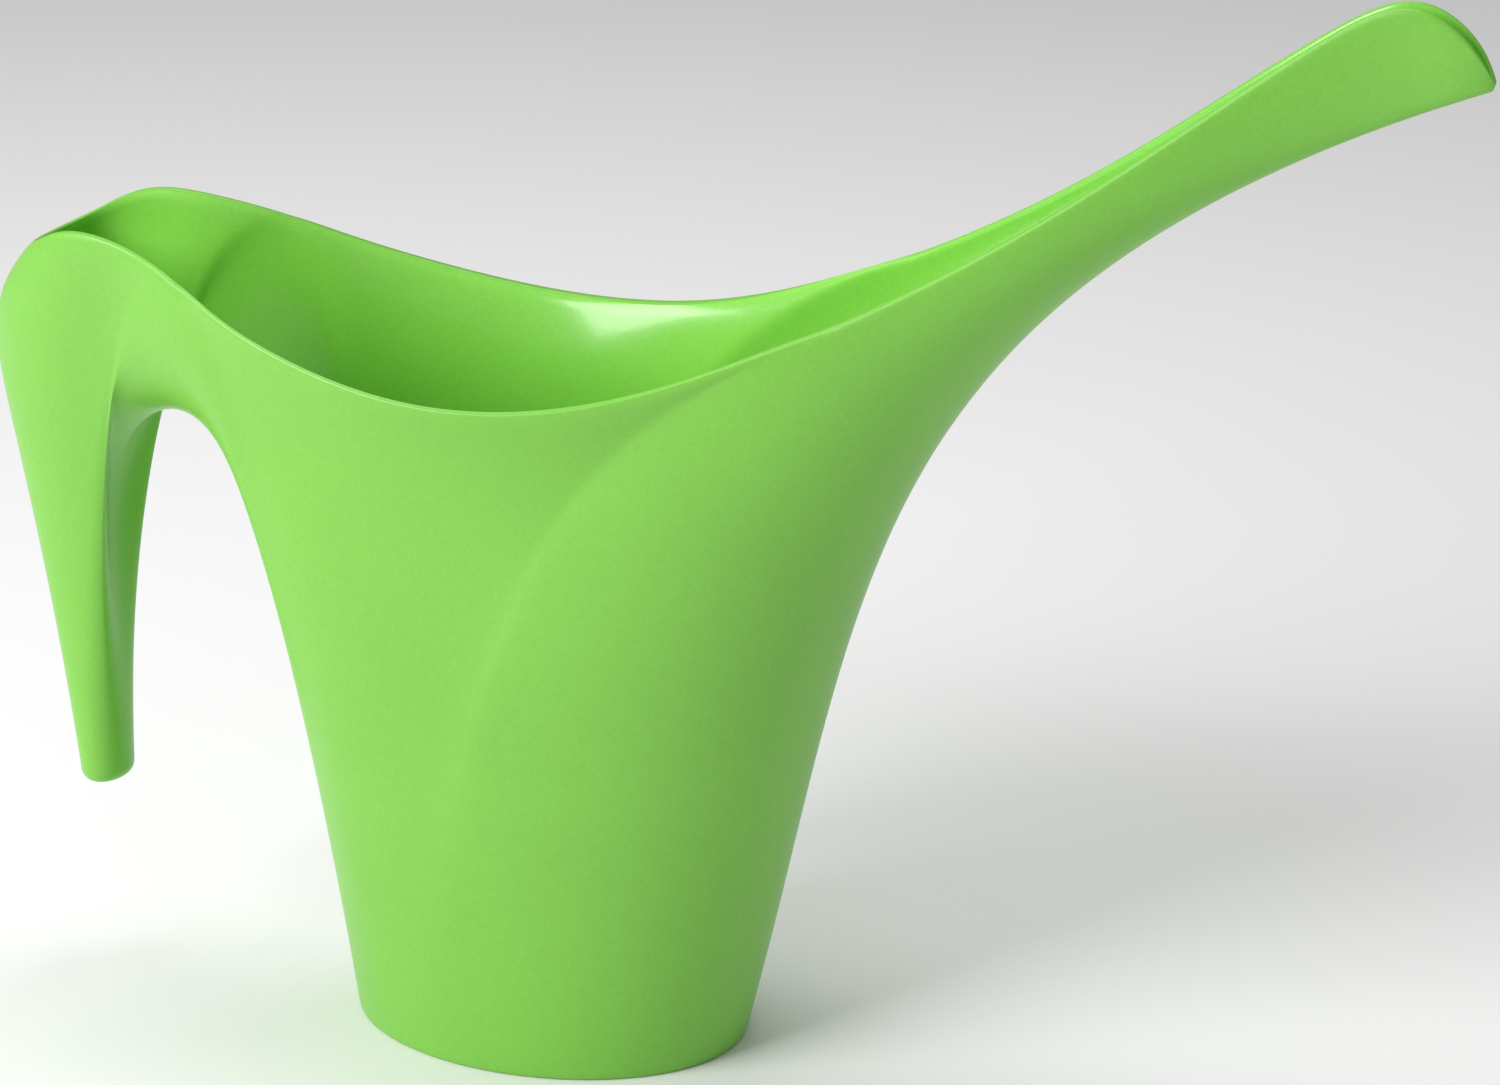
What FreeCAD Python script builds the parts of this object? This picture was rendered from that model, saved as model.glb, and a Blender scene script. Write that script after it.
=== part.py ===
import FreeCAD, Part
import math
import os
from FreeCAD import Vector

os.makedirs("parts", exist_ok=True)

# A hollow plastic watering can with an open gutter spout and a hooked, hollow handle.
# Millimetres and degrees. The origin is the centre of the underside, +X points to the
# spout and +Z is up. The can is the same on both sides of the XZ plane.

# ---- Driving dimensions ----

LIP_WALL = 1.3            # the wall gets thinner towards the lip
WALL = 2.0                # wall thickness of vessel and handle
FLOOR = 2.6               # thickness of the vessel's bottom
BASE = (49.0, 34.0)       # half length and half width of the oval that the can stands on
LEG_FOOT = (6.2, 7.7)     # half length and half width of the handle's lower end
LEG_FOOT_X = -118.0       # its middle
LEG_FOOT_Z = 50.0         # height where its rounded end starts
LEG_END = 3.6             # length of that rounded end

# The rim is one closed curve. Each row is a place on it, from the spout's tip back
# to the handle: X, half width and height.
RIM = (
    (214.5, 0.0, 244.6),       # tip of the lip
    (210.8, 3.4, 252.0),
    (198.0, 4.0, 261.0),       # crest of the lip
    (182.0, 4.8, 255.6),
    (135.0, 16.0, 221.6),
    (85.0, 28.4, 192.0),       # root of the gutter
    (35.0, 40.6, 172.7),       # mouth of the vessel
    (-15.0, 45.6, 169.4),
    (-60.0, 36.4, 180.4),
    (-75.0, 29.8, 186.8),      # where the saddle between vessel and handle starts
    (-92.0, 23.6, 192.2),
    (-107.0, 20.4, 193.2),     # crest of the handle
    (-118.5, 13.6, 188.8),
    (-123.5, 0.0, 186.4),      # middle of the handle's back
)
CREST_ROW = 2
GUTTER_ROW = 5
SADDLE_ROW = 9
TIP_SHARE = 0.3           # the lip's point is cut blunt this far along the first span
# The keel's parameter below the rows from the root of the gutter forward to the tip.
KEEL_BELOW = (0.625, 0.795, 0.935, 0.972, 0.992, 0.999)

# The keel is the middle line of the vessel's front and of the spout's underside, a
# Bezier curve: it leaves the base leaning out and reaches the tip at a slope.
KEEL_LEAN = 14.8
KEEL_RISE = 116.0
KEEL_SLOPE = 20.8
KEEL_REACH = 149.0

LIP_FULLNESS = 3.0        # the lip's section is squarer than an ellipse, whose fullness is 2

# The side line runs up the vessel's side and bends over into the gutter's edge. Front
# and spout are quarter ellipses from the keel to this line.
SIDE_LEAN = 7.0
SIDE_RISE = 80.0
SIDE_REACH = 70.0

# Behind the side line, lines called ribs run up the wall from the base oval to the rim.
# A rib meets the rim steeply at the vessel's mouth, and runs along it at the gutter's
# root and at the saddle.
MOUTH_LEAN = 7.0
MOUTH_REACH = 45.0
MOUTH_FLARE = 8           # the higher, the later the wall opens out to the rim
BACK_LEAN = 6.0
BACK_RISE = 98.0
SADDLE_DIRECTION = 150.0  # direction on the base oval of the rib that ends the saddle

# The saddle is the line across the top of the arch, where the vessel's wall turns
# over into the handle's. This is its middle. The reaches are for its end and middle.
SADDLE_MIDDLE = Vector(-85.0, 0.0, 146.0)
SADDLE_REACH = (21.0, 30.0)      # on the vessel's side of the saddle
SHOULDER_REACH = (24.0, 34.5)    # and on the handle's side

# The handle's leg: lean and first reach of its ribs at its front, side and back.
LEG_LEAN = (2.5, 1.6, 5.2)
LEG_RISE = (56.0, 76.0, 114.0)
LEG_SADDLE_DIRECTION = 55.0      # direction on the foot's oval of the saddle's end rib
HANDLE_FLARE = 6.0
HANDLE_REACH = 18.0
HEEL_SLOPE = 42.0         # the back rolls in over the hand at this slope
HEEL_REACH = 37.0

RIB_POINTS = 21           # points along each rib
ARC_POINTS = 21           # points along each quarter section of the front
SPOUT_SECTIONS = 30       # sections between the gutter's root and the tip
MOUTH_RIBS = 26           # ribs between the gutter's root and the saddle
SADDLE_RIBS = 18          # ribs along the saddle, or from it to the handle's back

FAIRING = 25              # rounds of smoothing for the net of ribs

# Where the one moulding is divided into sub-parts.
THROAT_SECTIONS = 4       # the spout's throat ends at this section
GUTTER_SECTIONS = 11      # and its gutter at this one; beyond is the lip
LEG_POINTS = 12           # the handle's leg ends at this point of its ribs

SIDES = ("first", "last", "start", "end")
ROOT_X, CREST_X = RIM[GUTTER_ROW][0], RIM[CREST_ROW][0]
UP = Vector(0, 0, 1)
FRONT = Vector(1, 0, 0)
OUT = Vector(0, -1, 0)            # outward on the near side
BACK = Vector(-1, 0, 0)


# ---- The rim, the side line, the keel and the saddle ----

def mirrored(point):
    return Vector(point.x, -point.y, point.z)


def smooth(value):
    """0 to 1 with a soft start and end."""
    value = min(max(value, 0.0), 1.0)
    return value * value * (3 - 2 * value)


def between(first, second, share):
    return first + (second - first) * share


def spline(points, parameters):
    curve = Part.BSplineCurve()
    curve.interpolate(Points=points, Parameters=parameters)
    return curve


def bezier(foot, first, second, top):
    curve = Part.BezierCurve()
    curve.setPoles([foot, first, second, top])
    return curve


def even_points(curve):
    """Points at even steps along a curve."""
    return curve.toShape().discretize(Number=RIB_POINTS)


def root_chord(points):
    """Parameters for a spline: each span takes the square root of its chord."""
    parameters = [0.0]
    for first, second in zip(points, points[1:]):
        parameters.append(parameters[-1] + math.sqrt(first.distanceToPoint(second)))
    return parameters


def rim_curve():
    """The near half of the rim as a spline, with the parameter of each row."""
    rows = [Vector(x, -half, z) for x, half, z in RIM]
    # Mirrored rows past both ends carry the curve square across the middle plane.
    points = [mirrored(p) for p in rows[3:0:-1]] + rows + [mirrored(p) for p in rows[-2:-5:-1]]
    parameters = root_chord(points)
    return spline(points, parameters), parameters[3:-3]


def keel_curve():
    lean, rising = math.radians(KEEL_LEAN), math.radians(KEEL_SLOPE)
    foot, tip = Vector(BASE[0], 0, 0), Vector(RIM[0][0], 0, RIM[0][2])
    first = foot + (FRONT * math.sin(lean) + UP * math.cos(lean)) * KEEL_RISE
    second = tip - (FRONT * math.cos(rising) + UP * math.sin(rising)) * KEEL_REACH
    return bezier(foot, first, second, tip)


def side_curve():
    """The vessel's side, from the base oval to the root of the gutter's edge."""
    lean = math.radians(SIDE_LEAN)
    foot, root = OUT * BASE[1], RIM_CURVE.value(ROW_AT[GUTTER_ROW])
    first = foot + (OUT * math.sin(lean) + UP * math.cos(lean)) * SIDE_RISE
    return bezier(foot, first, root + RIM_CURVE.tangent(ROW_AT[GUTTER_ROW])[0] * SIDE_REACH, root)


RIM_CURVE, ROW_AT = rim_curve()


def rim_at(row):
    """The rim's parameter at a row, or between two rows."""
    low = min(int(row), len(ROW_AT) - 2)
    return between(ROW_AT[low], ROW_AT[low + 1], row - low)


KEEL = keel_curve()
SIDE = side_curve()
SADDLE_END = RIM_CURVE.value(ROW_AT[SADDLE_ROW])
SADDLE_ALONG = RIM_CURVE.tangent(ROW_AT[SADDLE_ROW])[0]


def saddle(share):
    """A point of the saddle line and the way the wall crosses it there."""
    turn = math.radians(90 * share)
    end, middle = SADDLE_END, SADDLE_MIDDLE
    point = Vector(between(end.x, middle.x, math.sin(turn)),
                   end.y * math.cos(turn),
                   between(end.z, middle.z, math.sin(turn)))
    across = SADDLE_ALONG * math.cos(turn) + BACK * (1 - math.cos(turn))
    return point, across.normalize()


# ---- Front and spout: sections from the keel to the side line ----

def section(keel_share, edge, fullness=2.0, deepest=None):
    """A quarter section from the keel out to an edge point of the near side.

    Fullness 2 is an ellipse, more is squarer. Where the channel's full depth is given,
    the edge cuts it off lower down."""
    keel = KEEL.value(keel_share)
    middle = Vector(edge.x, 0, edge.z)
    depth = (middle - keel).Length
    full = deepest or depth
    turn = math.acos(max(1 - depth / full, 0.0) ** (fullness / 2))
    inward = (middle - keel).normalize()
    width = -edge.y / math.sin(turn) ** (2 / fullness)
    points = []
    for i in range(ARC_POINTS):
        angle = turn * i / (ARC_POINTS - 1)
        deep = full * (1 - max(math.cos(angle), 0.0) ** (2 / fullness))
        points.append(keel + inward * deep + OUT * (width * math.sin(angle) ** (2 / fullness)))
    return points


def front_sections():
    """The sections from the base up the vessel's front and along the spout to its tip."""
    sections = []
    for i, edge in enumerate(even_points(SIDE)):
        sections.append(section(KEEL_BELOW[0] * i / (RIB_POINTS - 1), edge))
    crest = RIM_CURVE.value(ROW_AT[CREST_ROW])
    full = (Vector(crest.x, 0, crest.z) - KEEL.value(KEEL_BELOW[GUTTER_ROW - CREST_ROW])).Length
    rows_forward = [float(row) for row in range(len(KEEL_BELOW))]
    shares = spline([Vector(share, 0, 0) for share in KEEL_BELOW], rows_forward)
    for i in range(1, SPOUT_SECTIONS + 1):
        forward = between(0, GUTTER_ROW - TIP_SHARE, i / SPOUT_SECTIONS)
        edge = RIM_CURVE.value(rim_at(GUTTER_ROW - forward))
        full_here = full if forward > GUTTER_ROW - CREST_ROW else None
        fullness = between(2, LIP_FULLNESS, smooth(forward / (GUTTER_ROW - CREST_ROW)))
        sections.append(section(shares.value(forward).x, edge, fullness, full_here))
    return sections


# ---- Ribs: lines up the wall, from a foot to the rim or the saddle ----

def by_side(values, angle):
    """A blend of the values for the front, side and back of an oval."""
    front, side, back = values
    cosine = math.cos(angle)
    end = front if cosine > 0 else back
    return end * cosine ** 2 + side * math.sin(angle) ** 2


def rib_start(oval, middle, lean, rise, degrees):
    """The foot of a rib on an oval, and its first handle."""
    angle = math.radians(degrees)
    foot = middle + Vector(oval[0] * math.cos(angle), -oval[1] * math.sin(angle), 0)
    outward = Vector(math.cos(angle), -math.sin(angle), 0)
    tilt = math.radians(by_side(lean, angle))
    return foot, foot + (outward * math.sin(tilt) + UP * math.cos(tilt)) * by_side(rise, angle)


def vessel_start(degrees):
    lean, rise = (KEEL_LEAN, SIDE_LEAN, BACK_LEAN), (KEEL_RISE, SIDE_RISE, BACK_RISE)
    return rib_start(BASE, Vector(0, 0, 0), lean, rise, degrees)


def leg_start(degrees):
    middle = Vector(LEG_FOOT_X, 0, LEG_FOOT_Z)
    return rib_start(LEG_FOOT, middle, LEG_LEAN, LEG_RISE, degrees)


def slope(degrees, reach, along):
    """A handle that rises at a slope along a level direction."""
    angle = math.radians(degrees)
    return (along * math.cos(angle) + UP * math.sin(angle)) * reach


def mouth_line(share):
    """The line in side view of a rib from the base oval to the rim behind the gutter."""
    foot, first = vessel_start(between(90, SADDLE_DIRECTION, share))
    at = between(ROW_AT[GUTTER_ROW], ROW_AT[SADDLE_ROW], share)
    top = RIM_CURVE.value(at)
    along = RIM_CURVE.tangent(at)[0]
    root_share = smooth(1 - share / 0.45)
    saddle_share = smooth((share - 0.35) / 0.65)
    handle = slope(90 - MOUTH_LEAN, MOUTH_REACH, OUT) * (1 - root_share - saddle_share)
    handle = handle - along * (SIDE_REACH * root_share) + along * (SADDLE_REACH[0] * saddle_share)
    return even_points(bezier(foot, first, top - handle, top))


def widened(points, share, lean):
    """The rib with its widths set: they go over from the side line's to the saddle
    end's as the base oval does, and near the top they open out to the rim."""
    turn = math.radians(share * (SADDLE_DIRECTION - 90))
    least = math.cos(math.radians(SADDLE_DIRECTION - 90))
    law = (math.cos(turn) - least) / (1 - least)
    levels = [between(last.y, first.y, law) for first, last in zip(SIDE_RIB, SADDLE_RIB)]
    flare = points[-1].y - levels[-1]
    rib = []
    for j, point in enumerate(points):
        opening = flare * (j / (RIB_POINTS - 1)) ** MOUTH_FLARE
        rib.append(Vector(point.x, levels[j] + opening + lean[j] * share * (1 - share) ** 3, point.z))
    return rib


def seam_lean():
    """For each point of the side line, the slope in width that lets the wall run on
    straight from the sections in front of it."""
    level = [0.0] * RIB_POINTS
    beside = widened(mouth_line(0.01), 0.01, level)
    leans = [0.0]
    for j in range(1, RIB_POINTS - 1):
        keel = KEEL.value(KEEL_BELOW[0] * j / (RIB_POINTS - 1))
        backward = Vector(SIDE_RIB[j].x, 0, SIDE_RIB[j].z) - keel
        normal = backward.cross(SIDE_RIB[j + 1] - SIDE_RIB[j - 1]).normalize()
        leans.append(-100 * (beside[j] - SIDE_RIB[j]).dot(normal) / normal.y)
    return leans + [0.0]


def mouth_rib(share):
    return widened(mouth_line(share), share, SEAM_LEAN)


SIDE_RIB, SADDLE_RIB = mouth_line(0), mouth_line(1)
SEAM_LEAN = seam_lean()


def vessel_saddle_rib(share):
    """A rib from the back of the base oval to the saddle."""
    foot, first = vessel_start(between(SADDLE_DIRECTION, 180, share))
    top, across = saddle(share)
    reach = between(*SADDLE_REACH, math.sin(math.radians(90 * share)) ** 2)
    return even_points(bezier(foot, first, top - across * reach, top))


def leg_saddle_rib(share):
    """A rib from the front of the leg's foot to the saddle."""
    foot, first = leg_start(LEG_SADDLE_DIRECTION * (1 - share))
    top, across = saddle(share)
    reach = between(*SHOULDER_REACH, math.sin(math.radians(90 * share)) ** 2)
    return even_points(bezier(foot, first, top + across * reach, top))


def leg_rib(share):
    """A rib from the side or back of the leg's foot to the rim."""
    degrees = between(LEG_SADDLE_DIRECTION, 180, share)
    foot, first = leg_start(degrees)
    top = RIM_CURVE.value(between(ROW_AT[SADDLE_ROW], ROW_AT[-1], share))
    away = 1 - (1 - min((degrees - LEG_SADDLE_DIRECTION) / 70, 1.0)) ** 2
    heel = min(max((degrees - 90) / 90, 0.0), 1.0)
    side = slope(90 - HANDLE_FLARE, HANDLE_REACH, OUT)
    back = slope(HEEL_SLOPE, HEEL_REACH, FRONT)
    handle = SADDLE_ALONG * (-SHOULDER_REACH[0] * (1 - away))
    handle = handle + side * (away * (1 - heel)) + back * (away * heel)
    return even_points(bezier(foot, first, top - handle, top))


# ---- Fairing: the net of all ribs is smoothed, its open edges and the spout held ----

def key(point):
    return round(point.x, 2), round(point.y, 2), round(point.z, 2)


def ribs_of(rib, count):
    return [rib(1 - i / count) for i in range(count + 1)]


class Net:
    """The points of the near half's grids, each place kept once."""

    def __init__(self, grids, held):
        self.grids, self.points, self.beside = grids, {}, {}
        for grid in grids:
            for i, rib in enumerate(grid):
                for j, point in enumerate(rib):
                    self.points[key(point)] = point
                    near = [(i - 1, j), (i + 1, j), (i, j - 1), (i, j + 1)]
                    inside = [(a, b) for a, b in near if 0 <= a < len(grid) and 0 <= b < len(rib)]
                    self.beside.setdefault(key(point), set()).update(key(grid[a][b]) for a, b in inside)
        self.free = [name for name in self.points if name not in held]

    def step(self, factor):
        """Moves every free point towards the middle of its neighbours, or away from it."""
        moved = {}
        for name in self.free:
            point, others = self.points[name], [self.points[n] for n in self.beside[name]]
            if abs(point.y) < 1e-6:
                others += [mirrored(other) for other in others if abs(other.y) > 1e-6]
            middle = sum(others, Vector(0, 0, 0)) * (1 / len(others))
            moved[name] = between(point, middle, factor)
        self.points.update(moved)

    def fair(self):
        for _ in range(FAIRING):
            self.step(0.5)
            self.step(-0.52)
        return [[[self.points[key(point)] for point in rib] for rib in grid] for grid in self.grids]


def half_grids():
    """Front, spout, mouth, back, arch and heel of the near half, faired."""
    quarters = front_sections()
    front, spout = quarters[:RIB_POINTS], quarters[RIB_POINTS - 1:]
    mouth = ribs_of(mouth_rib, MOUTH_RIBS)
    back = ribs_of(vessel_saddle_rib, SADDLE_RIBS)
    arch = ribs_of(leg_saddle_rib, SADDLE_RIBS)
    heel = ribs_of(leg_rib, SADDLE_RIBS)
    held = [point for points in spout for point in points] + front[0]
    held += [end for rib in mouth + heel for end in (rib[0], rib[-1])]
    held += [rib[0] for rib in back + arch]
    return [*Net([front, mouth, back, arch, heel], {key(p) for p in held}).fair(), spout]


# ---- Walls: a skin through the ribs, its offset, and the edges between them ----

def both_sides(ribs):
    """Ribs of the near half, from the middle plane out, with the far half before them."""
    far = [[mirrored(point) for point in rib] for rib in ribs[:0:-1]]
    return far + ribs


def skin(ribs):
    """A smooth surface through ribs that have equally many points."""
    along = [float(i) for i in range(len(ribs))]
    up = [float(j) for j in range(len(ribs[0]))]
    rows = [spline([rib[j] for rib in ribs], along) for j in range(len(up))]
    poles = [row.getPoles() for row in rows]
    columns = [spline([row[i] for row in poles], up) for i in range(len(poles[0]))]
    surface = Part.BSplineSurface()
    surface.buildFromPolesMultsKnots([column.getPoles() for column in columns],
                                     rows[0].getMultiplicities(), columns[0].getMultiplicities(),
                                     rows[0].getKnots(), columns[0].getKnots(),
                                     False, False, 3, 3)
    return surface


class Stretch:
    """A stretch of the wall: a skin through a grid of points, and its inside.

    The grid is a list of ribs or sections. Inward is the side of the skin that the
    inside lies on, 1 or -1 along its normal."""

    def __init__(self, grid, inward):
        self.grid = grid
        self.outer = skin(grid)
        self.normals = []
        for i in range(len(grid)):
            # Grazing ribs end along the rim, so the normal there is taken just before.
            steps = [min(float(j), len(grid[0]) - 1.3) for j in range(len(grid[0]))]
            self.normals.append([self.outer.normal(float(i), step) * inward for step in steps])

    def share_normals(self, shared):
        for rib, normals in zip(self.grid, self.normals):
            for point, normal in zip(rib, normals):
                shared.setdefault(key(point), []).append(normal)

    def thicken(self, shared):
        """The inside, a wall thickness in. Stretches that meet use the same directions."""
        inside = []
        for rib in self.grid:
            inside.append([])
            for point in rib:
                direction = sum(shared[key(point)], Vector(0, 0, 0))
                if point.z < 1e-6:
                    direction.z = 0
                thickness = between(WALL, LIP_WALL, smooth((point.x - ROOT_X) / (CREST_X - ROOT_X)))
                inside[-1].append(point + direction.normalize() * thickness)
        self.inner = skin(inside)

    def piece(self, first=0, last=None, start=0, end=None):
        """The inner and outer skins between two ribs, and between two points up them."""
        last = len(self.grid) - 1 if last is None else last
        end = len(self.grid[0]) - 1 if end is None else end
        skins = []
        for whole in (self.outer, self.inner):
            cut = whole.copy()
            cut.segment(float(first), float(last), float(start), float(end))
            skins.append(cut)
        return skins


def closing_face(skins, which):
    """The face between the skins along their first or last rib, or start or end."""
    u0, u1, v0, v1 = skins[0].bounds()
    outer, inner = [{"first": lambda s: s.uIso(u0), "last": lambda s: s.uIso(u1),
                     "start": lambda s: s.vIso(v0), "end": lambda s: s.vIso(v1)}[which](skin)
                    for skin in skins]
    return Part.makeRuledSurface(outer.toShape(), inner.toShape())


def solid_of(pieces):
    """A solid from pairs of skins, each given with those of its sides that are not joined."""
    faces = []
    for skins, open_sides in pieces:
        faces += [skins[0].toShape(), skins[1].toShape()]
        faces += [closing_face(skins, which) for which in open_sides]
    shell = Part.makeShell(faces)
    shell.sewShape()
    solid = Part.makeSolid(shell)
    if solid.Volume < 0:
        solid.reverse()
    return solid


def across(quarters):
    """Whole sections from quarter sections of the near side."""
    return [[mirrored(p) for p in points[:0:-1]] + points for points in quarters]


def stretches():
    """The stretches of the moulding's wall by name."""
    front, mouth, back, arch, heel, spout = half_grids()
    far = [[mirrored(point) for point in rib] for rib in mouth]
    made = {
        "front": Stretch(across(front), -1),
        "spout": Stretch(across(spout), -1),
        "near": Stretch(mouth, -1),
        "far": Stretch(far, 1),
        "back": Stretch(both_sides(back), -1),
        "arch": Stretch(both_sides(arch), 1),
        "heel": Stretch(both_sides(heel), -1),
    }
    shared = {}
    for piece in made.values():
        piece.share_normals(shared)
    for piece in made.values():
        piece.thicken(shared)
    return made


# ---- The sub-parts ----

def vessel_wall(made):
    return solid_of([
        (made["front"].piece(), ["first", "last"]),
        (made["near"].piece(), ["start", "end"]),
        (made["far"].piece(), ["start", "end"]),
        (made["back"].piece(), ["start", "end"]),
    ])


def vessel_floor(wall):
    """The plate inside the foot of the wall."""
    oval = Part.Ellipse(Vector(0, 0, 0), BASE[0] + 1, BASE[1] + 1)
    slab = Part.Face(Part.Wire(oval.toShape())).extrude(UP * FLOOR)
    return min(slab.cut(wall).Solids, key=lambda piece: piece.CenterOfMass.Length)


def spout_part(spout, first, last):
    return solid_of([(spout.piece(first=first, last=last), SIDES)])


def handle_leg(made):
    """The hollow leg: the walls on the hand's side and on the back, in one tube."""
    return solid_of([(made[name].piece(end=LEG_POINTS), ["start", "end"]) for name in ("arch", "heel")])


def handle_top(stretch):
    return solid_of([(stretch.piece(start=LEG_POINTS), SIDES)])


def handle_tip():
    """The rounded end that closes the leg."""
    oval = Part.Ellipse(Vector(0, 0, 0), LEG_FOOT[1], LEG_FOOT[0])
    plug = Part.Face(Part.Wire(oval.toShape())).extrude(UP * -LEG_END)
    lowest = min(plug.Edges, key=lambda edge: edge.CenterOfMass.z)
    plug = plug.makeFillet(LEG_END * 0.8, [lowest])
    plug.Placement = FreeCAD.Placement(Vector(LEG_FOOT_X, 0, LEG_FOOT_Z), FreeCAD.Rotation(UP, 90))
    return plug.Solids[0]


def main():
    made = stretches()
    wall = vessel_wall(made)
    parts = {
        "vessel_wall": wall,
        "vessel_floor": vessel_floor(wall),
        "spout_throat": spout_part(made["spout"], 0, THROAT_SECTIONS),
        "spout_gutter": spout_part(made["spout"], THROAT_SECTIONS, GUTTER_SECTIONS),
        "spout_lip": spout_part(made["spout"], GUTTER_SECTIONS, SPOUT_SECTIONS),
        "handle_arch": handle_top(made["arch"]),
        "handle_shoulder": handle_top(made["heel"]),
        "handle_leg": handle_leg(made),
        "handle_tip": handle_tip(),
    }
    for name, shape in parts.items():
        shape.exportStep("parts/" + name + ".step")


main()
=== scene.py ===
# %% [markdown]
# # A moulded watering can
#
# The can is one plastic moulding: a tall oval vessel whose front runs out into a long
# open gutter spout, and whose back turns over into a hollow handle that hangs down.
# There is no joint or seam anywhere, so it is modelled as one skin with one wall, which
# gets thinner at the lip. Almost all of the work is in the shape of that skin.

# %% Frame
import math

import bmesh
import bpy
import numpy as np
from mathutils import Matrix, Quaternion, Vector


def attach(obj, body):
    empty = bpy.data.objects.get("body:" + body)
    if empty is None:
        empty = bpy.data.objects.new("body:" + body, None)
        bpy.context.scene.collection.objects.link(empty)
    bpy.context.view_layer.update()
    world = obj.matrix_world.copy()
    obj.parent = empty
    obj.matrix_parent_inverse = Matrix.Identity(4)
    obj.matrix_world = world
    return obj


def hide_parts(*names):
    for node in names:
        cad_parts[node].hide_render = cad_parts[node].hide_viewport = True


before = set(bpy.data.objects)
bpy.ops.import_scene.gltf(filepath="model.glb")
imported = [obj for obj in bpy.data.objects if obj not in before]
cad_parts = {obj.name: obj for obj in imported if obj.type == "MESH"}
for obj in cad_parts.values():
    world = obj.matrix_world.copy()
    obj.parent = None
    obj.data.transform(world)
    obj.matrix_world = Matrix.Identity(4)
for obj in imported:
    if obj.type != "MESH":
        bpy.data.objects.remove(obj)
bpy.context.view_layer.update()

MM = 0.001

# %% [markdown]
# ## The lines that shape the skin
#
# A smooth moulded form is ruled by a few lines: the oval it stands on, the rim all the
# way round, the keel (the middle line of the front and of the spout's underside), the
# side line where the side bends over into the gutter, and the saddle where the vessel
# turns over into the handle. They could be drawn as Bezier curves by hand. Numbers at
# the top are easier to change and keep both halves exact mirror images.

# %% Measures in millimetres
WALL, LIP_WALL = 2.0, 1.3
BASE = (49.0, 34.0)
LEG_FOOT = (6.2, 7.7)
LEG_FOOT_X, LEG_FOOT_Z = -118.0, 50.0
LEG_END = 3.6

RIM = (                       # X, half width, height, from the spout's tip to the handle's back
    (214.5, 0.0, 244.6), (210.8, 3.4, 252.0), (198.0, 4.0, 261.0), (182.0, 4.8, 255.6),
    (135.0, 16.0, 221.6), (85.0, 28.4, 192.0), (35.0, 40.6, 172.7), (-15.0, 45.6, 169.4),
    (-60.0, 36.4, 180.4), (-75.0, 29.8, 186.8), (-92.0, 23.6, 192.2), (-107.0, 20.4, 193.2),
    (-118.5, 13.6, 188.8), (-123.5, 0.0, 186.4),
)
CREST_ROW, GUTTER_ROW, SADDLE_ROW = 2, 5, 9
TIP_SHARE = 0.3
KEEL_BELOW = (0.625, 0.795, 0.935, 0.972, 0.992, 0.999)

KEEL_LEAN, KEEL_RISE, KEEL_SLOPE, KEEL_REACH = 14.8, 116.0, 20.8, 149.0
LIP_FULLNESS = 3.0
SIDE_LEAN, SIDE_RISE, SIDE_REACH = 7.0, 80.0, 70.0
MOUTH_LEAN, MOUTH_REACH, MOUTH_FLARE = 7.0, 45.0, 8
BACK_LEAN, BACK_RISE = 6.0, 98.0
SADDLE_DIRECTION = 150.0
SADDLE_MIDDLE = np.array((-85.0, 0.0, 146.0))
SADDLE_REACH, SHOULDER_REACH = (21.0, 30.0), (24.0, 34.5)
LEG_LEAN, LEG_RISE = (2.5, 1.6, 5.2), (56.0, 76.0, 114.0)
LEG_SADDLE_DIRECTION = 55.0
HANDLE_FLARE, HANDLE_REACH = 6.0, 18.0
HEEL_SLOPE, HEEL_REACH = 42.0, 37.0

RIB_POINTS, ARC_POINTS = 21, 21
FAIRING, FAIR_IN, FAIR_BACK = 25, 0.5, -0.52   # rounds, and the two steps of each
SPOUT_SECTIONS, MOUTH_RIBS, SADDLE_RIBS = 30, 26, 18

UP, FRONT, OUT = np.array((0.0, 0, 1)), np.array((1.0, 0, 0)), np.array((0.0, -1, 0))

# %% [markdown]
# Three small tools draw those lines. A spline passes through given points. A Bezier
# curve needs only where a line starts and ends and which way it leaves. Points at even
# steps along a curve give the skin even squares, which is what makes it shade smoothly.


# %% Curve helpers
def between(first, second, share):
    return first + (second - first) * share


def smooth(value):
    value = min(max(value, 0.0), 1.0)
    return value * value * (3 - 2 * value)


def unit(vector):
    return vector / np.linalg.norm(vector)


def spline(points, knots):
    """A natural cubic spline through points, as a function of its parameter."""
    t, p = np.array(knots, float), np.array(points, float)
    h, count = np.diff(t), len(t)
    system, right = np.eye(count), np.zeros(p.shape)
    for i in range(1, count - 1):
        system[i, i - 1:i + 2] = h[i - 1], 2 * (h[i - 1] + h[i]), h[i]
        right[i] = 6 * ((p[i + 1] - p[i]) / h[i] - (p[i] - p[i - 1]) / h[i - 1])
    bend = np.linalg.solve(system, right)

    def place(x):
        i = min(max(int(np.searchsorted(t, x, "right")) - 1, 0), count - 2)
        a, b = t[i + 1] - x, x - t[i]
        curve = (bend[i] * a ** 3 + bend[i + 1] * b ** 3) / (6 * h[i])
        return (curve + (p[i] / h[i] - bend[i] * h[i] / 6) * a
                + (p[i + 1] / h[i] - bend[i + 1] * h[i] / 6) * b)

    return place


def bezier(foot, first, second, top):
    def place(t):
        return (foot * (1 - t) ** 3 + first * (3 * t * (1 - t) ** 2)
                + second * (3 * t * t * (1 - t)) + top * t ** 3)
    return place


def even_points(curve, count=RIB_POINTS):
    steps = np.linspace(0, 1, 300)
    points = np.array([curve(t) for t in steps])
    length = np.concatenate(([0], np.cumsum(np.linalg.norm(np.diff(points, axis=0), axis=1))))
    return [curve(t) for t in np.interp(np.linspace(0, length[-1], count), length, steps)]


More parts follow.
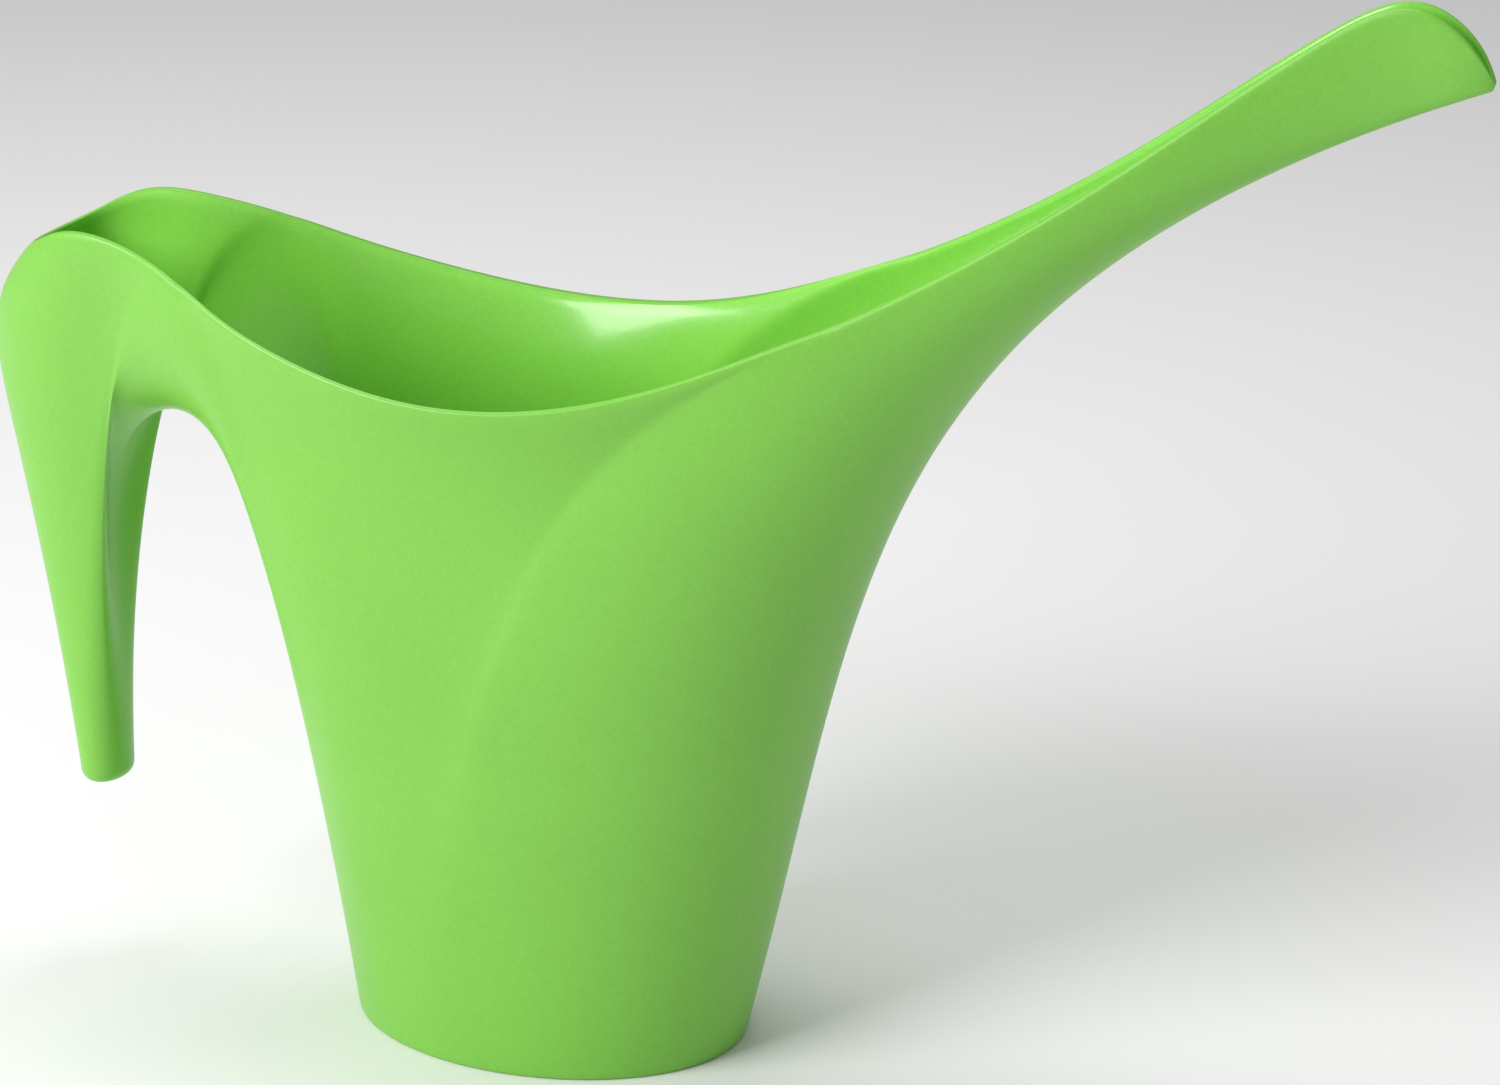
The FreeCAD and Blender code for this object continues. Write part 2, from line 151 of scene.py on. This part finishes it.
# %% The rim, the keel and the side line
def rim_line():
    rows = [np.array((x, -half, z)) for x, half, z in RIM]
    far = np.array((1, -1, 1))
    points = [p * far for p in rows[3:0:-1]] + rows + [p * far for p in rows[-2:-5:-1]]
    knots = [0.0]
    for first, second in zip(points, points[1:]):
        knots.append(knots[-1] + math.sqrt(np.linalg.norm(second - first)))
    return spline(points, knots), knots[3:-3]


rim, row_at = rim_line()


def rim_at(row):
    low = min(int(row), len(row_at) - 2)
    return between(row_at[low], row_at[low + 1], row - low)


def along_rim(at):
    return unit(rim(at + 0.01) - rim(at - 0.01))


def keel_line():
    lean, rising = math.radians(KEEL_LEAN), math.radians(KEEL_SLOPE)
    foot, tip = FRONT * BASE[0], np.array((RIM[0][0], 0, RIM[0][2]))
    first = foot + (FRONT * math.sin(lean) + UP * math.cos(lean)) * KEEL_RISE
    second = tip - (FRONT * math.cos(rising) + UP * math.sin(rising)) * KEEL_REACH
    return bezier(foot, first, second, tip)


keel = keel_line()
saddle_end = rim(row_at[SADDLE_ROW])
saddle_along = along_rim(row_at[SADDLE_ROW])
print("rim runs from", rim(row_at[0]).round(1), "to", rim(row_at[-1]).round(1))

# %% [markdown]
# ## The ribs
#
# The skin is laid over ribs, as on a boat. Front and spout get cross sections: near
# ellipses at the vessel, a narrow U at the lip. The mouth, the back and the handle get
# ribs that climb from an oval below to the rim or the saddle above. At the saddle the
# ribs of vessel and handle arrive from both sides along the same direction, so the two
# walls flow into each other without a crease.


# %% Where ribs start
def by_side(values, angle):
    front, side, back = values
    end = front if math.cos(angle) > 0 else back
    return end * math.cos(angle) ** 2 + side * math.sin(angle) ** 2


def rib_start(oval, middle, lean, rise, degrees):
    angle = math.radians(degrees)
    foot = middle + np.array((oval[0] * math.cos(angle), -oval[1] * math.sin(angle), 0))
    outward = np.array((math.cos(angle), -math.sin(angle), 0))
    tilt = math.radians(by_side(lean, angle))
    return foot, foot + (outward * math.sin(tilt) + UP * math.cos(tilt)) * by_side(rise, angle)


def vessel_start(degrees):
    leans, rises = (KEEL_LEAN, SIDE_LEAN, BACK_LEAN), (KEEL_RISE, SIDE_RISE, BACK_RISE)
    return rib_start(BASE, np.zeros(3), leans, rises, degrees)


def leg_start(degrees):
    return rib_start(LEG_FOOT, np.array((LEG_FOOT_X, 0, LEG_FOOT_Z)), LEG_LEAN, LEG_RISE, degrees)


def slope(degrees, reach, along):
    angle = math.radians(degrees)
    return (along * math.cos(angle) + UP * math.sin(angle)) * reach


# %% Ribs of the mouth
def mouth_line(share):
    foot, first = vessel_start(between(90, SADDLE_DIRECTION, share))
    at = between(row_at[GUTTER_ROW], row_at[SADDLE_ROW], share)
    top, along = rim(at), along_rim(at)
    root_share, saddle_share = smooth(1 - share / 0.45), smooth((share - 0.35) / 0.65)
    handle = slope(90 - MOUTH_LEAN, MOUTH_REACH, OUT) * (1 - root_share - saddle_share)
    handle = handle - along * (SIDE_REACH * root_share) + along * (SADDLE_REACH[0] * saddle_share)
    return even_points(bezier(foot, first, top - handle, top))


side_rib, saddle_rib = mouth_line(0), mouth_line(1)


def widened(points, share, lean):
    """Widths pass from the side line's to the saddle's, and open out near the rim."""
    least = math.cos(math.radians(SADDLE_DIRECTION - 90))
    law = (math.cos(math.radians(share * (SADDLE_DIRECTION - 90))) - least) / (1 - least)
    levels = [between(last[1], first[1], law) for first, last in zip(side_rib, saddle_rib)]
    flare = points[-1][1] - levels[-1]
    rib = []
    for j, point in enumerate(points):
        opening = flare * (j / (RIB_POINTS - 1)) ** MOUTH_FLARE
        width = levels[j] + opening + lean[j] * share * (1 - share) ** 3
        rib.append(np.array((point[0], width, point[2])))
    return rib


def seam_lean():
    """The slope in width that carries the mouth on straight from the front's sections."""
    beside = widened(mouth_line(0.01), 0.01, [0.0] * RIB_POINTS)
    leans = [0.0]
    for j in range(1, RIB_POINTS - 1):
        backward = side_rib[j] * (1, 0, 1) - keel(KEEL_BELOW[0] * j / (RIB_POINTS - 1))
        normal = unit(np.cross(backward, side_rib[j + 1] - side_rib[j - 1]))
        leans.append(-100 * float(np.dot(beside[j] - side_rib[j], normal)) / normal[1])
    return leans + [0.0]


seam = seam_lean()
mouth_ribs = [widened(mouth_line(1 - i / MOUTH_RIBS), 1 - i / MOUTH_RIBS, seam)
              for i in range(MOUTH_RIBS + 1)]
print("mouth ribs", len(mouth_ribs), "of", len(mouth_ribs[0]), "points")


# %% Cross sections of the front and the spout
def section(keel_point, edge, fullness=2.0, deepest=None):
    """A quarter section from the keel out to the edge. Fullness 2 is an ellipse."""
    middle = edge * (1, 0, 1)
    depth = np.linalg.norm(middle - keel_point)
    full = deepest or depth
    turn = math.acos(max(1 - depth / full, 0.0) ** (fullness / 2))
    inward, width = (middle - keel_point) / depth, -edge[1] / math.sin(turn) ** (2 / fullness)
    points = []
    for i in range(ARC_POINTS):
        angle = turn * i / (ARC_POINTS - 1)
        deep = full * (1 - max(math.cos(angle), 0.0) ** (2 / fullness))
        points.append(keel_point + inward * deep + OUT * (width * math.sin(angle) ** (2 / fullness)))
    return points


def front_sections():
    made = [section(keel(KEEL_BELOW[0] * i / (RIB_POINTS - 1)), edge) for i, edge in enumerate(side_rib)]
    crest = rim(row_at[CREST_ROW]) * (1, 0, 1)
    full = np.linalg.norm(crest - keel(KEEL_BELOW[GUTTER_ROW - CREST_ROW]))
    shares = spline([(share,) for share in KEEL_BELOW], range(len(KEEL_BELOW)))
    for i in range(1, SPOUT_SECTIONS + 1):
        forward = (GUTTER_ROW - TIP_SHARE) * i / SPOUT_SECTIONS
        edge = rim(rim_at(GUTTER_ROW - forward))
        fullness = between(2, LIP_FULLNESS, smooth(forward / (GUTTER_ROW - CREST_ROW)))
        deepest = full if forward > GUTTER_ROW - CREST_ROW else None
        made.append(section(keel(float(shares(forward)[0])), edge, fullness, deepest))
    return made


sections = front_sections()
print("sections", len(sections), "of", len(sections[0]), "points")


# %% Ribs of the saddle and the handle
def saddle(share):
    """A point of the saddle line and the way the wall crosses it there."""
    turn = math.radians(90 * share)
    point = np.array((between(saddle_end[0], SADDLE_MIDDLE[0], math.sin(turn)),
                      saddle_end[1] * math.cos(turn),
                      between(saddle_end[2], SADDLE_MIDDLE[2], math.sin(turn))))
    return point, unit(saddle_along * math.cos(turn) - FRONT * (1 - math.cos(turn)))


def vessel_saddle_rib(share):
    foot, first = vessel_start(between(SADDLE_DIRECTION, 180, share))
    top, across = saddle(share)
    reach = between(*SADDLE_REACH, math.sin(math.radians(90 * share)) ** 2)
    return even_points(bezier(foot, first, top - across * reach, top))


def leg_saddle_rib(share):
    foot, first = leg_start(LEG_SADDLE_DIRECTION * (1 - share))
    top, across = saddle(share)
    reach = between(*SHOULDER_REACH, math.sin(math.radians(90 * share)) ** 2)
    return even_points(bezier(foot, first, top + across * reach, top))


def leg_rib(share):
    degrees = between(LEG_SADDLE_DIRECTION, 180, share)
    foot, first = leg_start(degrees)
    top = rim(between(row_at[SADDLE_ROW], row_at[-1], share))
    away = 1 - (1 - min((degrees - LEG_SADDLE_DIRECTION) / 70, 1.0)) ** 2
    heel = min(max((degrees - 90) / 90, 0.0), 1.0)
    handle = saddle_along * (-SHOULDER_REACH[0] * (1 - away))
    handle = handle + slope(90 - HANDLE_FLARE, HANDLE_REACH, OUT) * (away * (1 - heel))
    handle = handle + slope(HEEL_SLOPE, HEEL_REACH, FRONT) * (away * heel)
    return even_points(bezier(foot, first, top - handle, top))


def ribs_of(rib):
    return [rib(1 - i / SADDLE_RIBS) for i in range(SADDLE_RIBS + 1)]


# %% [markdown]
# ## The skin
#
# Each stretch is a grid of squares whose corners are laid on its ribs. Only the near
# half is laid, then mirrored, and the stretches are welded where they share a rib. The
# alternative, a subdivision cage pushed by hand, can't meet the measured rim as closely.


# %% Laying the grids
def lay_skin(bm, ribs):
    across, up = len(ribs) - 1, len(ribs[0]) - 1
    made = bmesh.ops.create_grid(bm, x_segments=across, y_segments=up, size=1.0)
    for vert in made["verts"]:
        i, j = round((vert.co.x + 1) / 2 * across), round((vert.co.y + 1) / 2 * up)
        vert.co = Vector(ribs[i][j]) * MM


bm = bmesh.new()
for ribs in (sections, mouth_ribs, ribs_of(vessel_saddle_rib), ribs_of(leg_saddle_rib), ribs_of(leg_rib)):
    lay_skin(bm, ribs)
bmesh.ops.mirror(bm, geom=bm.verts[:] + bm.edges[:] + bm.faces[:], axis="Y", merge_dist=1e-5)
bmesh.ops.remove_doubles(bm, verts=bm.verts, dist=2e-5)
open_edges = [edge for edge in bm.edges if edge.is_boundary]

# %% [markdown]
# The ribs meet at small angles. A few rounds of smoothing spread these out: each point
# moves halfway to the middle of its neighbours and then a little more than that back,
# so the skin gets smoother and doesn't shrink. The open edges and the spout are held.

# %% Fairing
root = sections[RIB_POINTS - 1]
root_keel, root_edge = Vector(root[0]) * MM, Vector(root[-1] * (1, 0, 1)) * MM
root_normal = (root_edge - root_keel).cross(Vector((0, 1, 0)))
held = {vert for edge in open_edges for vert in edge.verts}
held |= {vert for vert in bm.verts
         if (vert.co - root_keel).dot(root_normal) * root_normal.x > -1e-9}
free = [vert for vert in bm.verts if vert not in held]
for _ in range(FAIRING):
    for factor in (FAIR_IN, FAIR_BACK):
        moves = [(vert, sum((edge.other_vert(vert).co for edge in vert.link_edges), Vector())
                  / len(vert.link_edges)) for vert in free]
        for vert, middle in moves:
            vert.co = vert.co.lerp(middle, factor)
print("faired", len(free), "points, held", len(held))
print("skin", len(bm.faces), "squares,", len(open_edges), "open edges")

# %% [markdown]
# The vessel's foot is closed with a flat base, and the leg's foot with a rounded end.
# A line of squares close to the base keeps its edge crisp when the skin is subdivided:
# a moulded base has a small round there, not a soft one.


# %% Base and leg end
def loop_at(height, low_x, high_x):
    return [edge for edge in bm.edges if edge.is_boundary and all(
        abs(v.co.z - height * MM) < 2e-5 and low_x * MM < v.co.x < high_x * MM for v in edge.verts)]


def grow_loop(edges, shift, scale, middle):
    """Extrudes a loop, moves it and scales it about a middle point. Returns the new loop."""
    made = bmesh.ops.extrude_edge_only(bm, edges=edges)["geom"]
    verts = [item for item in made if isinstance(item, bmesh.types.BMVert)]
    bmesh.ops.translate(bm, verts=verts, vec=shift)
    for vert in verts:
        vert.co.x = middle.x + (vert.co.x - middle.x) * scale[0]
        vert.co.y = middle.y + (vert.co.y - middle.y) * scale[1]
    return [item for item in made if isinstance(item, bmesh.types.BMEdge)]


bmesh.ops.bisect_plane(bm, geom=bm.verts[:] + bm.edges[:] + bm.faces[:], dist=1e-6,
                       plane_co=(0, 0, 1.6 * MM), plane_no=(0, 0, 1))
base = loop_at(0, -60, 60)
for inset in (1.6, 8.0, 16.0):
    share = (1 - inset / BASE[0], 1 - inset / BASE[1])
    last = share if inset == 1.6 else (share[0] / before[0], share[1] / before[1])
    base = grow_loop(base, Vector((0, 0, 0)), last, Vector((0, 0, 0)))
    before = share
bmesh.ops.edgeloop_fill(bm, edges=base)

leg_loop = loop_at(LEG_FOOT_Z, -130, -100)
middle = Vector((LEG_FOOT_X * MM, 0, 0))
radius, reached, size = LEG_END * 0.8, LEG_END * 0.2, 1.0
leg_loop = grow_loop(leg_loop, Vector((0, 0, -reached * MM)), (1, 1), middle)
for degrees in (22.5, 45, 67.5, 90):
    turn = math.radians(degrees)
    depth = LEG_END * 0.2 + radius * math.sin(turn)
    inset = radius * (1 - math.cos(turn))
    new = (1 - inset / LEG_FOOT[0], 1 - inset / LEG_FOOT[1])
    old = (1, 1) if degrees == 22.5 else shape
    leg_loop = grow_loop(leg_loop, Vector((0, 0, -(depth - reached) * MM)),
                         (new[0] / old[0], new[1] / old[1]), middle)
    reached, shape = depth, new
bmesh.ops.edgeloop_fill(bm, edges=leg_loop)
bmesh.ops.recalc_face_normals(bm, faces=bm.faces)
lowest = min((f for f in bm.faces if f.calc_center_median().z < 1e-5), key=lambda f: -f.calc_area())
if lowest.normal.z > 0:
    bmesh.ops.reverse_faces(bm, faces=bm.faces)
print("base and leg end closed,", sum(edge.is_boundary for edge in bm.edges), "rim edges open")

# %% [markdown]
# The wall gets its thickness inwards from the skin, so the outside keeps its size. The
# subdivision after it rounds the rim's two edges, as on a real moulding. Towards the
# lip's crest the wall thins out.

# %% The can
mesh = bpy.data.meshes.new("Watering can")
bm.to_mesh(mesh)
bm.free()
mesh.shade_smooth()
can = bpy.data.objects.new("Watering_can", mesh)
bpy.context.scene.collection.objects.link(can)
thick = can.vertex_groups.new(name="Wall thickness")
for vert in mesh.vertices:
    past_root = (vert.co.x / MM - RIM[GUTTER_ROW][0]) / (RIM[CREST_ROW][0] - RIM[GUTTER_ROW][0])
    thick.add([vert.index], between(1.0, LIP_WALL / WALL, smooth(past_root)), "REPLACE")
wall = can.modifiers.new("Wall", "SOLIDIFY")
wall.thickness, wall.offset = WALL * MM, -1.0
wall.vertex_group = thick.name
wall.use_even_offset, wall.use_quality_normals = True, True
wall.material_offset, wall.material_offset_rim = 1, 0
rounding = can.modifiers.new("Rounding", "SUBSURF")
rounding.levels = rounding.render_levels = 1
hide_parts("vessel_wall", "vessel_floor", "spout_throat", "spout_gutter", "spout_lip",
            "handle_arch", "handle_shoulder", "handle_leg", "handle_tip")
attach(can, "root")

# %% [markdown]
# ## The plastic
#
# The can is apple-green polypropylene, coloured through. The outside is satin, with a
# fine spark-eroded grain and faint pigment speckle; the inside comes off a polished
# core, so it is glossier. A little light goes through a wall this thin, which is why
# the inside glows a brighter green: part of that is the subsurface glow, and part is
# painted light, a lighter base colour for the inside. One material function makes both sides.


# %% Material
def plastic(name, colour, roughness, coat, grain, glow):
    material = bpy.data.materials.new(name)
    material.use_nodes = True
    nodes, links = material.node_tree.nodes, material.node_tree.links
    shader = nodes["Principled BSDF"]
    place = nodes.new("ShaderNodeTexCoord")

    speckle = nodes.new("ShaderNodeTexNoise")
    speckle.inputs["Scale"].default_value = 900
    speckle.inputs["Detail"].default_value = 3
    links.new(place.outputs["Object"], speckle.inputs["Vector"])
    cloud = nodes.new("ShaderNodeTexNoise")
    cloud.inputs["Scale"].default_value = 14
    cloud.inputs["Detail"].default_value = 2
    links.new(place.outputs["Object"], cloud.inputs["Vector"])

    tint = nodes.new("ShaderNodeValToRGB")
    tint.color_ramp.elements[0].position = 0.3
    tint.color_ramp.elements[1].position = 0.7
    tint.color_ramp.elements[0].color = (*[c * 0.93 for c in colour], 1)
    tint.color_ramp.elements[1].color = (*[min(c * 1.07, 1) for c in colour], 1)
    blend = nodes.new("ShaderNodeMath")
    blend.operation = "MULTIPLY_ADD"
    blend.inputs[1].default_value = 0.45
    links.new(speckle.outputs["Fac"], blend.inputs[0])
    part = nodes.new("ShaderNodeMath")
    part.operation = "MULTIPLY"
    part.inputs[1].default_value = 0.55
    links.new(cloud.outputs["Fac"], part.inputs[0])
    links.new(part.outputs[0], blend.inputs[2])
    links.new(blend.outputs[0], tint.inputs["Fac"])
    links.new(tint.outputs["Color"], shader.inputs["Base Color"])

    rough = nodes.new("ShaderNodeMapRange")
    rough.inputs["To Min"].default_value = roughness - 0.05
    rough.inputs["To Max"].default_value = roughness + 0.07
    links.new(cloud.outputs["Fac"], rough.inputs["Value"])
    links.new(rough.outputs["Result"], shader.inputs["Roughness"])

    bump = nodes.new("ShaderNodeBump")
    bump.inputs["Strength"].default_value = grain
    bump.inputs["Distance"].default_value = 0.0002
    links.new(speckle.outputs["Fac"], bump.inputs["Height"])
    links.new(bump.outputs["Normal"], shader.inputs["Normal"])

    shader.inputs["IOR"].default_value = 1.49
    shader.inputs["Coat Weight"].default_value = coat
    shader.inputs["Coat Roughness"].default_value = 0.08
    shader.inputs["Subsurface Weight"].default_value = glow
    shader.inputs["Subsurface Radius"].default_value = (0.3, 1.0, 0.15)
    shader.inputs["Subsurface Scale"].default_value = 0.004
    return material


outside = plastic("Satin green polypropylene", (0.195, 0.52, 0.058), 0.36, 0.0, 0.25, 0.2)
# Painted light: the inside's base colour is lighter than the outside's, standing in for light coming
# through the thin wall.
inside = plastic("Polished green polypropylene painted lighter", (0.26, 0.66, 0.085), 0.2, 0.2, 0.08, 0.3)
can.data.materials.append(outside)
can.data.materials.append(inside)
print("materials", [m.name for m in can.data.materials])

# %% [markdown]
# ## The studio
#
# The can stands on a plain white floor. A large soft light on the left and a little in
# front makes the broad sheen on the vessel and leaves the right of it, the underside of
# the spout and the inside of the leg in shade. A weak light overhead shapes the rim.


# %% Floor, lights and camera
def soft_light(name, size, power, place, aim):
    data = bpy.data.lights.new(name, "AREA")
    data.shape, data.size, data.size_y, data.energy = "RECTANGLE", size[0], size[1], power
    light = bpy.data.objects.new(name, data)
    light.location = place
    light.rotation_mode = "QUATERNION"
    light.rotation_quaternion = (Vector(aim) - Vector(place)).to_track_quat("-Z", "Y")
    bpy.context.scene.collection.objects.link(light)
    return light


ground = bmesh.new()
bmesh.ops.create_grid(ground, x_segments=1, y_segments=1, size=6.0)
floor_mesh = bpy.data.meshes.new("Floor")
ground.to_mesh(floor_mesh)
ground.free()
floor = bpy.data.objects.new("Floor", floor_mesh)
bpy.context.scene.collection.objects.link(floor)
paper = bpy.data.materials.new("White paper")
paper.use_nodes = True
paper.node_tree.nodes["Principled BSDF"].inputs["Base Color"].default_value = (0.92, 0.92, 0.92, 1)
paper.node_tree.nodes["Principled BSDF"].inputs["Roughness"].default_value = 0.9
floor.data.materials.append(paper)

bpy.context.scene.view_settings.view_transform = "Standard"
world = bpy.data.worlds.new("Studio")
world.use_nodes = True
world.node_tree.nodes["Background"].inputs["Color"].default_value = (1, 1, 1, 1)
world.node_tree.nodes["Background"].inputs["Strength"].default_value = 0.35
bpy.context.scene.world = world

soft_light("Key", (0.9, 0.9), 24, (-0.9, -1.1, 0.9), (0.0, 0, 0.12))
soft_light("Top", (0.8, 0.5), 6, (-0.1, 0.2, 1.3), (0.02, 0, 0.1))

AZIMUTH, ELEVATION, ROLL, DISTANCE = 19.75, 20.7, 0.65, 0.85
target = Vector((0.0525, 0.0, 0.1278))
a, e = math.radians(AZIMUTH), math.radians(ELEVATION)
back = Vector((math.sin(a) * math.cos(e), -math.cos(a) * math.cos(e), math.sin(e)))
camera_data = bpy.data.cameras.new("Camera")
camera_data.sensor_width, camera_data.lens = 36.0, 89.8
camera = bpy.data.objects.new("Camera", camera_data)
camera.location = target + back * DISTANCE
camera.rotation_mode = "QUATERNION"
level = (-back).to_track_quat("-Z", "Y")
camera.rotation_quaternion = level @ Quaternion((0, 0, 1), math.radians(-ROLL))
bpy.context.scene.collection.objects.link(camera)
bpy.context.scene.camera = camera
